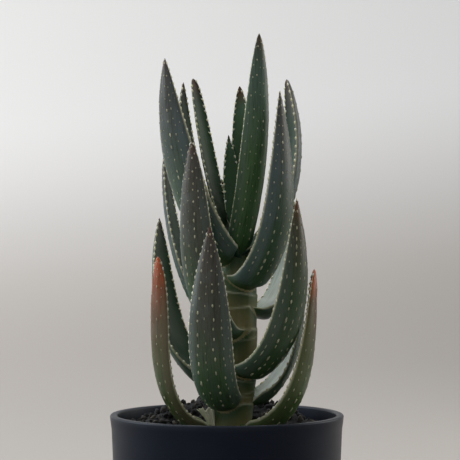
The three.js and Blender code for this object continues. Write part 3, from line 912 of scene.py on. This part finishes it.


# Each kind of leaf: the colours of its outer face from the stem to the tip, its inner face, its bluish bloom
# and painted sheen, and the rows (place across, strength), spacing, length and paleness of its dots
EVEN_ROWS = ((-0.72, 0.9), (-0.4, 1.0), (-0.08, 0.65), (0.25, 1.0), (0.6, 0.85))
STRONG_ROWS = ((-0.75, 0.8), (-0.42, 1.2), (-0.1, 0.75), (0.22, 1.15), (0.55, 0.9), (0.8, 0.7))
LEAF_FINISHES = {
    "young": {
        "skin": ((0, "3e6236"), (0.5, "4c704a"), (0.85, "556e5c"), (1, "5a4636")),
        "inner": "4a624c", "bloom_and_sheen": "56695f", "dot_rows": EVEN_ROWS[::2], "dot_pitch": 10,
        "dot_stretch": 1.5, "dot_paleness": 0.3,
    },
    "green": {
        "skin": ((0, "42673a"), (0.45, "4a6a42"), (0.8, "50665a"), (0.95, "4c5549"), (1, "50382a")),
        "inner": "35523a", "bloom_and_sheen": "55685a", "dot_rows": EVEN_ROWS, "dot_pitch": 7.5,
        "dot_stretch": 1.4, "dot_paleness": 0.6,
    },
    # Painted shade: the leaves at the back get darker greens than the others.
    "shaded": {
        "skin": ((0, "27422a"), (0.6, "2c4834"), (0.9, "33443a"), (1, "43291c")),
        "inner": "29422c", "bloom_and_sheen": "46594f", "dot_rows": EVEN_ROWS, "dot_pitch": 9,
        "dot_stretch": 1.5, "dot_paleness": 0.4,
    },
    "glaucous": {
        "skin": ((0, "3c5a3a"), (0.35, "435b48"), (0.65, "49534e"), (0.94, "4a4744"), (1, "50352a")),
        "inner": "33493f", "bloom_and_sheen": "566569", "dot_rows": STRONG_ROWS, "dot_pitch": 5.5,
        "dot_stretch": 1.7, "dot_paleness": 0.65,
    },
    "bronze": {
        "skin": ((0, "4c6c46"), (0.3, "40583c"), (0.55, "43463b"), (0.9, "49433c"), (1, "55342a")),
        "inner": "41523e", "bloom_and_sheen": "55635f", "dot_rows": STRONG_ROWS, "dot_pitch": 6,
        "dot_stretch": 1.9, "dot_paleness": 0.52,
    },
    "streaked": {
        "skin": ((0, "2c4628"), (0.55, "33492f"), (0.85, "46422f"), (1, "703c20")),
        "inner": "41553f", "bloom_and_sheen": "4c5a50", "dot_rows": STRONG_ROWS, "dot_pitch": 6.5,
        "dot_stretch": 3.2, "dot_paleness": 0.52,
    },
    "sunburnt": {
        "skin": ((0, "3a4f28"), (0.45, "454e2b"), (0.66, "58452c"), (0.84, "7f421f"), (1, "c9551a")),
        "inner": "8c9a80", "bloom_and_sheen": "685f4a", "dot_rows": EVEN_ROWS, "dot_pitch": 8,
        "dot_stretch": 2.0, "dot_paleness": 0.55,
    },
    "amber": {
        "skin": ((0, "4b683a"), (0.45, "46592f"), (0.68, "4c4428"), (0.84, "623a1c"), (0.95, "b44e17"),
                 (1, "c95a18")),
        "inner": "52683a", "bloom_and_sheen": "58603e", "dot_rows": STRONG_ROWS, "dot_pitch": 7,
        "dot_stretch": 2.0, "dot_paleness": 0.7,
    },
    # This finish paints its inner face near-white, a painted highlight where light falls on the upturned
    # inner faces.
    "bright": {
        "skin": ((0, "2c4828"), (0.6, "344b30"), (0.93, "474838"), (1, "70422a")),
        "inner": "e6f0e9", "bloom_and_sheen": "54645c", "dot_rows": EVEN_ROWS, "dot_pitch": 7,
        "dot_stretch": 1.8, "dot_paleness": 0.65,
    },
}


def leaf_material(kind, finish, leaves, stem):
    """Waxy skin: streaked green to grey-green, with a bluish bloom that is partly painted sheen along both
    margins, and pale margins and dots.
    """
    made = Finish(f"{kind}_leaf", {
        "Roughness": leaves.roughness,
        "Subsurface Weight": 0.12,
        "Subsurface Radius": (0.6, 1.0, 0.35),
        "Subsurface Scale": 1.0 * MM,
    })
    place = made.attribute("leaf_place")
    across, along, inner = made.parts(made.attribute("leaf_share"))
    pale = made.attribute("pale", "Fac")
    streaks = made.noise(made.scaled(place, (1.5, 0.07, 1)), 1.0, 4)
    clouds = made.noise(made.scaled(place, (1, 0.45, 1)), 0.11, 3)
    specks = made.cells(made.scaled(place, (1, 0.6, 1)), 1.25)
    ragged = made.calc("ADD", along, made.span(clouds, 0.3, 0.7, -0.04, 0.04))
    blush = made.ramp(ragged, finish["skin"])
    skin = made.mix(made.span(streaks, 0.45, 0.7, 0, 0.5), blush, shade("1b261a"))
    skin = made.mix(made.span(clouds, 0.45, 0.75, 0, 0.45), skin, shade(finish["bloom_and_sheen"]))
    # Painted sheen: both margins go towards the bloom colour, less near the tip; partly real wax bloom,
    # partly painted sheen.
    edge = made.span(made.calc("ABSOLUTE", across, 0), 0.45, 0.65, 0, 0.5)
    edge = made.calc("MULTIPLY", edge, made.span(along, 0.7, 0.9, 1, 0.2))
    skin = made.mix(edge, skin, shade(finish["bloom_and_sheen"]))
    skin = made.mix(made.span(specks, 0.22, 0.1, 0, 0.15), skin, shade("9aa48c"))
    skin = made.mix(made.attribute("sheath", "Fac"), skin, stem.fresh_colour)
    base = finish["skin"][0][1]
    face = made.mix(made.span(streaks, 0.3, 0.8, 0, 0.3), shade(finish["inner"]), shade(base))
    face = made.mix(made.span(along, 0.7, 0.95), face, blush)
    skin = made.mix(inner, skin, face)
    skin = made.mix(pale, skin, leaves.tooth_colour)
    made.set_input(made.shader, "Specular IOR Level", made.span(inner, 0, 1, 0.3, 0.1))
    relief = made.calc("ADD", streaks, made.calc("MULTIPLY", made.noise(place, 1.8, 2), 0.3))
    made.bump(relief, 0.12 * MM, 0.5)
    uneven = made.span(streaks, 0.3, 0.7, leaves.roughness - 0.05, leaves.roughness + 0.08)
    return made.paint(skin, uneven)


def tooth_material(leaves):
    """Horny spines: cream, waxy and lit through, a little uneven."""
    made = Finish("horny_spine", {
        "Roughness": 0.38,
        "Subsurface Weight": 0.6,
        "Subsurface Radius": (1.0, 0.85, 0.5),
        "Subsurface Scale": 1.5 * MM,
    })
    clouds = made.noise(made.attribute("leaf_place"), 0.8, 2)
    return made.paint(made.mix(made.span(clouds, 0.35, 0.65), leaves.tooth_colour, shade("faf4d8")))


def stem_material(stem):
    """Dry sheaths: smooth and tan with faint fibres, green below each leaf, with thin pale edges."""
    made = Finish("dry_sheath", {"Roughness": 0.5})
    place = made.attribute("stem_place")
    fresh = made.attribute("fresh", "Fac")
    fibres = made.noise(made.scaled(place, (9, 9, 0.05)), 1.0, 3)
    stains = made.noise(made.scaled(place, (1.3, 1.3, 0.09)), 1.0, 3)
    skin = made.mix(made.span(fibres, 0.3, 0.7, 0, 0.5), stem.colour, stem.fibre_colour)
    skin = made.mix(made.span(stains, 0.4, 0.7, 0, 0.6), skin, shade("77704a"))
    skin = made.mix(made.span(fresh, 0.1, 0.6, 0, 0.8), skin, shade("66693f"))
    skin = made.mix(made.span(fresh, 0.4, 0.9), skin, stem.fresh_colour)
    skin = made.mix(made.attribute("pale", "Fac"), skin, stem.edge_colour)
    made.bump(fibres, 0.15 * MM, 0.4)
    return made.paint(skin, made.span(stains, 0.3, 0.7, 0.44, 0.6))


def soil_material(soil):
    """Peaty soil: nearly black, with grey-brown crumbs of their own tones and a fine grain."""
    made = Finish("potting_soil", {"Roughness": 0.95})
    place = made.object_place()
    grain = made.noise(place, 900, 4)
    patches = made.noise(place, 160, 3)
    tone = made.attribute("tone", "Fac")
    skin = made.mix(made.span(grain, 0.35, 0.7), soil.colour, shade("201f21"))
    skin = made.mix(made.span(tone, 0.65, 1.0, 0, 0.8), skin, soil.crumb_colour)
    skin = made.mix(made.span(patches, 0.5, 0.75, 0, 0.5), skin, shade("100f11"))
    made.bump(made.calc("ADD", grain, patches), 0.6 * MM, 0.8)
    return made.paint(skin, made.span(grain, 0.3, 0.7, 0.85, 1.0))


def pot_material(pot):
    """Matt dyed plastic: dark navy, with faint clouds, fine grain and a little dust along the rim."""
    made = Finish("matt_navy", {
        "Roughness": pot.roughness,
        "Specular IOR Level": 0.2,
        "Specular Tint": (0.72, 0.84, 1.0, 1.0),
    })
    place = made.object_place()
    clouds = made.noise(made.scaled(place, (1, 1, 2.5)), 14, 3)
    grain = made.noise(place, 2200, 2)
    height = made.parts(place)[2]
    skin = made.mix(made.span(clouds, 0.3, 0.7), pot.colour, shade("0d121e"))
    near_rim = made.span(height, pot.height - DUSTY_RIM, pot.height)
    dust = made.calc("MULTIPLY", near_rim, made.span(clouds, 0.35, 0.65))
    skin = made.mix(made.calc("MULTIPLY", dust, 0.25), skin, shade("50545a"))
    made.bump(grain, 0.03 * MM, 0.5)
    return made.paint(skin, made.span(clouds, 0.25, 0.75, pot.roughness - 0.05, pot.roughness + 0.06))


def backdrop_material(stage):
    """Plain paper, a little uneven, its light painted in: painted shade makes it grey on the floor, and
    painted light paler up the backdrop, most of all to the left.
    """
    made = Finish("studio_paper", {"Roughness": 0.95, "Specular IOR Level": 0.1})
    place = made.object_place()
    right, _, height = made.parts(place)
    clouds = made.noise(place, 0.8, 2)
    # Painted light and shade: the paper's colour grows paler with height and towards the left.
    level = made.calc("SUBTRACT", height, made.calc("MULTIPLY", right, 0.1))
    level = made.calc("ADD", level, made.calc("MULTIPLY", clouds, 0.04))
    return made.paint(made.mix(made.span(level, 0, 0.62), stage.painted_shade_floor_colour, stage.colour))


# Settings


class PotSettings(bpy.types.PropertyGroup):
    height: FloatProperty(
        name="Height", description="From the floor to the top of the rim", default=POT_BOX[1].z,
        unit="LENGTH")
    rim_radius: FloatProperty(
        name="Rim radius", description="Outside radius of the lip", default=POT_BOX[1].x, unit="LENGTH")
    base_radius: FloatProperty(
        name="Base radius", description="Outside radius at the foot", default=64 * MM, unit="LENGTH")
    wall: FloatProperty(name="Wall", description="Thickness of the wall", default=3.8 * MM, unit="LENGTH")
    floor: FloatProperty(
        name="Floor", description="Height of the floor inside the pot", default=5 * MM, unit="LENGTH")
    lip_height: FloatProperty(
        name="Lip height", description="Height over which the wall swells out to the rim",
        default=10 * MM, unit="LENGTH")
    lip_step: FloatProperty(
        name="Lip step", description="How far the lip stands out of the wall", default=0.6 * MM,
        unit="LENGTH")
    foot_width: FloatProperty(
        name="Foot width", description="Width of the ring that the pot stands on", default=9 * MM,
        unit="LENGTH")
    foot_recess: FloatProperty(
        name="Foot recess", description="Height of the underside inside that ring", default=1.5 * MM,
        unit="LENGTH")
    edge_round: FloatProperty(
        name="Edge rounding", description="Radius of the pot's lower edge", default=3 * MM, unit="LENGTH")
    rim_round: FloatProperty(
        name="Rim rounding", description="Radius of the rim's two edges", default=1.1 * MM, unit="LENGTH")
    sides: IntProperty(name="Sides", description="Faces round the pot", default=160, min=24)
    wall_rings: IntProperty(name="Wall rings", description="Faces up the wall", default=10, min=1)
    colour: FloatVectorProperty(
        name="Colour", description="Colour of the dyed plastic", default=shade("090f1e"), subtype="COLOR")
    roughness: FloatProperty(
        name="Roughness", description="How matt the plastic is", default=0.42, subtype="FACTOR")


class SoilSettings(bpy.types.PropertyGroup):
    front: FloatProperty(
        name="Front height", description="Height of the soil before the stem", default=118.5 * MM,
        unit="LENGTH")
    back: FloatProperty(
        name="Back height", description="Height of the heap behind the stem", default=134 * MM, unit="LENGTH")
    edge: FloatProperty(
        name="Edge height", description="Height of the soil at the pot's wall", default=121 * MM,
        unit="LENGTH")
    heap_end: FloatProperty(
        name="Heap distance", description="How far back the heap is full", default=34 * MM, unit="LENGTH")
    edge_start: FloatProperty(
        name="Edge start", description="Radius where the soil turns to its edge height", default=36 * MM,
        unit="LENGTH")
    lump_height: FloatProperty(
        name="Lump height", description="Height of the highest lump", default=4.5 * MM, unit="LENGTH")
    lump_spread: FloatProperty(
        name="Lump spread", description="Radius of a lump", default=5.5 * MM, unit="LENGTH")
    lump_count: IntProperty(name="Lumps", description="Lumps and hollows in the soil", default=60, min=1)
    grain: FloatProperty(
        name="Grain", description="Length of the faces of the soil's top", default=1.4 * MM, unit="LENGTH")
    roughness: FloatProperty(
        name="Unevenness", description="Height of the fine grain", default=0.9 * MM, unit="LENGTH")
    sides: IntProperty(name="Sides", description="Faces round the soil", default=128, min=24)
    crumb_count: IntProperty(name="Crumbs", description="Crumbs and chips tried", default=1500, min=0)
    crumb_size: FloatProperty(
        name="Crumb size", description="Radius of the largest crumbs", default=2.2 * MM, unit="LENGTH")
    seed: IntProperty(name="Seed", description="Starts the scatter of the crumbs", default=11)
    colour: FloatVectorProperty(
        name="Colour", description="Colour of the damp soil", default=shade("151518"), subtype="COLOR")
    crumb_colour: FloatVectorProperty(
        name="Crumb colour", description="Colour of the driest crumbs", default=shade("655f58"),
        subtype="COLOR")


class StemSettings(bpy.types.PropertyGroup):
    foot: FloatProperty(
        name="Foot", description="Height of the stem's end in the soil", default=STEM_BOX[0].z, unit="LENGTH")
    top: FloatProperty(
        name="Top", description="Height of the crown's end", default=STEM_BOX[1].z, unit="LENGTH")
    radius: FloatProperty(name="Radius", description="Radius of the stem", default=13 * MM, unit="LENGTH")
    crown_start: FloatProperty(
        name="Crown start", description="Height where the stem narrows", default=204 * MM, unit="LENGTH")
    crown_radius: FloatProperty(
        name="Crown radius", description="Radius at the top", default=3 * MM, unit="LENGTH")
    lean_start: FloatProperty(
        name="Lean start", description="Height where the stem starts to lean", default=124 * MM,
        unit="LENGTH")
    lean_end: FloatProperty(
        name="Lean end", description="Height where it stands upright again", default=164 * MM, unit="LENGTH")
    lean_foot: FloatProperty(
        name="Foot offset", description="How far right of the pot's axis it starts", default=1.8 * MM,
        unit="LENGTH")
    lean_top: FloatProperty(
        name="Top offset", description="How far right of the pot's axis it ends", default=4.8 * MM,
        unit="LENGTH")
    sides: IntProperty(name="Sides", description="Faces round the stem", default=112, min=12)
    row_length: FloatProperty(
        name="Row length", description="Height of the stem's faces", default=0.8 * MM, unit="LENGTH")
    colour: FloatVectorProperty(
        name="Colour", description="Colour of the dry sheaths", default=shade("978b60"), subtype="COLOR")
    fibre_colour: FloatVectorProperty(
        name="Fibre colour", description="Colour of their lighter fibres", default=shade("a99d70"),
        subtype="COLOR")
    fresh_colour: FloatVectorProperty(
        name="Fresh colour", description="Colour just below a leaf's edge", default=shade("3f5633"),
        subtype="COLOR")
    edge_colour: FloatVectorProperty(
        name="Edge colour", description="Colour of the sheaths' thin edges", default=shade("e2e2c8"),
        subtype="COLOR")


class LeafSettings(bpy.types.PropertyGroup):
    sides: IntProperty(
        name="Sides", description="Faces round a blade, a multiple of four", default=32, min=12)
    row_length: FloatProperty(
        name="Row length", description="Length of a blade's faces", default=1 * MM, unit="LENGTH")
    tooth_length: FloatProperty(
        name="Tooth length", description="Length of the teeth near the stem", default=3.0 * MM, unit="LENGTH")
    tooth_pitch: FloatProperty(
        name="Tooth spacing", description="Distance between teeth near the stem", default=5.4 * MM,
        unit="LENGTH")
    tooth_foot: FloatProperty(
        name="Tooth foot", description="Reach of a tooth's foot along the margin", default=2.2 * MM,
        unit="LENGTH")
    margin_bulge: FloatProperty(
        name="Margin bulge", description="Share of a tooth that the margin carries", default=0.3,
        subtype="FACTOR")
    margin_paleness: FloatProperty(
        name="Margin paleness", description="How pale the line of the margin is", default=0.8,
        subtype="FACTOR")
    dot_radius: FloatProperty(
        name="Dot radius", description="Radius of a raised dot", default=0.54 * MM, unit="LENGTH")
    tooth_colour: FloatVectorProperty(
        name="Tooth colour", description="Colour of teeth, dots and margins", default=shade("e0dcba"),
        subtype="COLOR")
    roughness: FloatProperty(
        name="Roughness", description="How matt the waxy skin is", default=0.4, subtype="FACTOR")
    seed: IntProperty(name="Seed", description="Starts the scatter of teeth and dots", default=5)


class StageSettings(bpy.types.PropertyGroup):
    # The paper's two colours paint its light and shade: pale high up as painted light, grey on the floor as
    # painted shade.
    colour: FloatVectorProperty(
        name="Backdrop", description="Colour of the paper high up", default=shade("e9e9ea"), subtype="COLOR")
    painted_shade_floor_colour: FloatVectorProperty(
        name="Floor", description="Colour of the paper on the floor", default=shade("b3aeaa"),
        subtype="COLOR")
    floor_radius: FloatProperty(
        name="Floor radius", description="Where the floor starts to curve up", default=2.2, unit="LENGTH")
    cove_radius: FloatProperty(
        name="Cove radius", description="Radius of that curve", default=2.6, unit="LENGTH")
    world: FloatVectorProperty(
        name="Sky", description="Colour of the light from all round", default=(0.98, 1.0, 1.0),
        subtype="COLOR")
    world_strength: FloatProperty(name="Sky strength", description="Its brightness", default=0.32)
    backdrop_power: FloatProperty(
        name="Backdrop light", description="Power of the light on the backdrop", default=78,
        subtype="POWER")
    key_power: FloatProperty(
        name="Left light", description="Power of the large light at the left", default=11.5, subtype="POWER")
    side_power: FloatProperty(
        name="Right light", description="Power of the light at the right", default=7, subtype="POWER")
    top_power: FloatProperty(
        name="Top light", description="Power of the light overhead", default=6, subtype="POWER")
    front_power: FloatProperty(
        name="Front light", description="Power of the weak light beside the camera", default=1.3,
        subtype="POWER")
    camera_x: FloatProperty(
        name="Camera X", description="Where the camera stands, left to right", default=1.86 * MM,
        unit="LENGTH")
    camera_y: FloatProperty(
        name="Camera Y", description="How far before the pot's axis it stands", default=-1.083,
        unit="LENGTH")
    camera_z: FloatProperty(
        name="Camera Z", description="Its height over the floor", default=0.2403, unit="LENGTH")
    camera_view: FloatProperty(
        name="Field of view", description="Angle that the photograph takes in", default=math.radians(14.526),
        subtype="ANGLE")


# Operators


class KOKERBOOM_OT_pot(bpy.types.Operator):
    """Turn the pot with its lip, foot ring and floor"""

    bl_idname = "kokerboom.pot"
    bl_label = "Pot"

    def execute(self, context):
        pot = context.scene.kokerboom_pot
        bm = bmesh.new()
        turn_outline(bm, pot_outline(pot), pot.sides)
        finished_piece("pot_turned", bm, [pot_material(pot)], ["pot"])
        return {"FINISHED"}


class KOKERBOOM_OT_soil(bpy.types.Operator):
    """Fill the pot with lumpy soil and scatter crumbs over it"""

    bl_idname = "kokerboom.soil"
    bl_label = "Soil"

    def execute(self, context):
        scene = context.scene
        pot, soil, stem = scene.kokerboom_pot, scene.kokerboom_soil, scene.kokerboom_stem
        bm, form = soil_bmesh(pot, soil)
        leaf_forms = [LeafForm(leaf, stem) for leaf in LEAVES]
        add_crumbs(bm, soil, form, leaf_forms, stem)
        finished_piece("soil_crumbled", bm, [soil_material(soil)], ["soil"])
        return {"FINISHED"}


class KOKERBOOM_OT_stem(bpy.types.Operator):
    """Raise the stem with the collars of its leaf sheaths"""

    bl_idname = "kokerboom.stem"
    bl_label = "Stem"

    def execute(self, context):
        stem = context.scene.kokerboom_stem
        finished_piece("stem_sheathed", stem_bmesh(stem), [stem_material(stem)], ["stem"])
        return {"FINISHED"}


class KOKERBOOM_OT_leaves(bpy.types.Operator):
    """Grow the leaves, each with its teeth and dots"""

    bl_idname = "kokerboom.leaves"
    bl_label = "Leaves"

    def execute(self, context):
        settings = context.scene.kokerboom_leaf
        stem = context.scene.kokerboom_stem
        skins = {kind: leaf_material(kind, finish, settings, stem) for kind, finish in LEAF_FINISHES.items()}
        spines = tooth_material(settings)
        for i, leaf in enumerate(LEAVES):
            materials = [skins[leaf.finish], spines]
            seed = settings.seed * SEEDS_APART + i
            add_leaf(leaf, settings, stem, materials, LEAF_FINISHES[leaf.finish], seed)
        return {"FINISHED"}


# How far the leaves' seeds of one setting lie from those of the next
SEEDS_APART = 100

# The backdrop's curve: its steps, the degrees of each, and the faces round it
COVE_STEPS = 24
COVE_STEP_ANGLE = 3.2
BACKDROP_SIDES = 96


@dataclass(frozen=True)
class SoftLight:
    """A square soft light at a place, turned to a target. Its power is the stage's setting of that name."""

    name: str
    place: tuple
    target: tuple
    size: float
    power: str
    colour: tuple


MIDDLE = (0, 0, 0.22)
LIGHTS = (
    SoftLight(
        "backdrop_light", (-1.6, 1.6, 2.6), (-0.4, 3.9, 1.0), 1.6, "backdrop_power", (1.0, 0.99, 0.97)),
    SoftLight("left_light", (-1.2, 0.15, 0.75), MIDDLE, 1.0, "key_power", (0.9, 0.96, 1.0)),
    SoftLight("right_light", (1.2, 0.5, 0.6), MIDDLE, 0.9, "side_power", (1.0, 0.97, 0.9)),
    SoftLight("top_light", (-0.1, 0.2, 1.5), MIDDLE, 1.1, "top_power", (1.0, 1.0, 0.98)),
    SoftLight("front_light", (-0.6, -1.2, 0.4), MIDDLE, 0.8, "front_power", (1.0, 1.0, 0.96)),
)


def add_light(light, power):
    """Hangs a light where the camera doesn't see it."""
    data = bpy.data.lights.new(light.name, "AREA")
    data.shape = "SQUARE"
    data.size = light.size
    data.energy = power
    data.color = light.colour
    lamp = bpy.data.objects.new(light.name, data)
    lamp.location = light.place
    lamp.rotation_euler = (Vector(light.target) - Vector(light.place)).to_track_quat("-Z", "Y").to_euler()
    lamp.visible_camera = False
    bpy.context.scene.collection.objects.link(lamp)


class KOKERBOOM_OT_stage(bpy.types.Operator):
    """Set the floor and backdrop, the lights and the camera"""

    bl_idname = "kokerboom.stage"
    bl_label = "Stage"

    def execute(self, context):
        stage = context.scene.kokerboom_stage
        self.set_backdrop(stage)
        self.set_lights(context.scene, stage)
        self.set_camera(context.scene, stage)
        return {"FINISHED"}

    def set_backdrop(self, stage):
        bm = bmesh.new()
        outline = [(0, 0), (stage.floor_radius / 2, 0)]
        for i in range(COVE_STEPS + 1):
            angle = math.radians(COVE_STEP_ANGLE * i)
            rise = stage.cove_radius * (1 - math.cos(angle))
            outline.append((stage.floor_radius + stage.cove_radius * math.sin(angle), rise))
        turn_outline(bm, outline, BACKDROP_SIDES)
        for face in bm.faces:
            if face.normal.z < 0:
                face.normal_flip()
        mesh = bpy.data.meshes.new("studio_floor")
        bm.to_mesh(mesh)
        bm.free()
        mesh.materials.append(backdrop_material(stage))
        mesh.shade_smooth()
        floor = bpy.data.objects.new("studio_floor", mesh)
        bpy.context.scene.collection.objects.link(floor)

    def set_lights(self, scene, stage):
        world = bpy.data.worlds.new("studio_sky")
        world.use_nodes = True
        background = world.node_tree.nodes["Background"]
        background.inputs["Color"].default_value = (*stage.world, 1)
        background.inputs["Strength"].default_value = stage.world_strength
        scene.world = world
        for light in LIGHTS:
            add_light(light, getattr(stage, light.power))

    def set_camera(self, scene, stage):
        data = bpy.data.cameras.new("front_camera")
        data.sensor_width = 36
        data.lens_unit = "FOV"
        data.angle = stage.camera_view
        camera = bpy.data.objects.new("front_camera", data)
        camera.location = (stage.camera_x, stage.camera_y, stage.camera_z)
        camera.rotation_euler = (math.pi / 2, 0, 0)
        scene.collection.objects.link(camera)
        scene.camera = camera
        scene.view_settings.view_transform = "Standard"


class KOKERBOOM_PT_parts(bpy.types.Panel):
    """Lists the parts of the potted kokerboom with their sizes and colours"""

    bl_idname = "KOKERBOOM_PT_parts"
    bl_label = "Potted kokerboom"
    bl_space_type = "VIEW_3D"
    bl_region_type = "UI"
    bl_category = "Kokerboom"

    def draw(self, context):
        for name, (_, operator) in SETTINGS.items():
            box = self.layout.box()
            box.operator(operator.bl_idname)
            settings = getattr(context.scene, name)
            for key in settings.__annotations__:
                box.prop(settings, key)


SETTINGS = {
    "kokerboom_pot": (PotSettings, KOKERBOOM_OT_pot),
    "kokerboom_soil": (SoilSettings, KOKERBOOM_OT_soil),
    "kokerboom_stem": (StemSettings, KOKERBOOM_OT_stem),
    "kokerboom_leaf": (LeafSettings, KOKERBOOM_OT_leaves),
    "kokerboom_stage": (StageSettings, KOKERBOOM_OT_stage),
}


def register():
    for name, (group, operator) in SETTINGS.items():
        bpy.utils.register_class(group)
        bpy.utils.register_class(operator)
        setattr(bpy.types.Scene, name, PointerProperty(type=group))
    bpy.utils.register_class(KOKERBOOM_PT_parts)


def unregister():
    bpy.utils.unregister_class(KOKERBOOM_PT_parts)
    for name, (group, operator) in SETTINGS.items():
        delattr(bpy.types.Scene, name)
        bpy.utils.unregister_class(operator)
        bpy.utils.unregister_class(group)


def main():
    register()
    bpy.ops.kokerboom.pot()
    bpy.ops.kokerboom.soil()
    bpy.ops.kokerboom.stem()
    bpy.ops.kokerboom.leaves()
    bpy.ops.kokerboom.stage()
    bpy.context.view_layer.update()


if __name__ == "__main__":
    main()
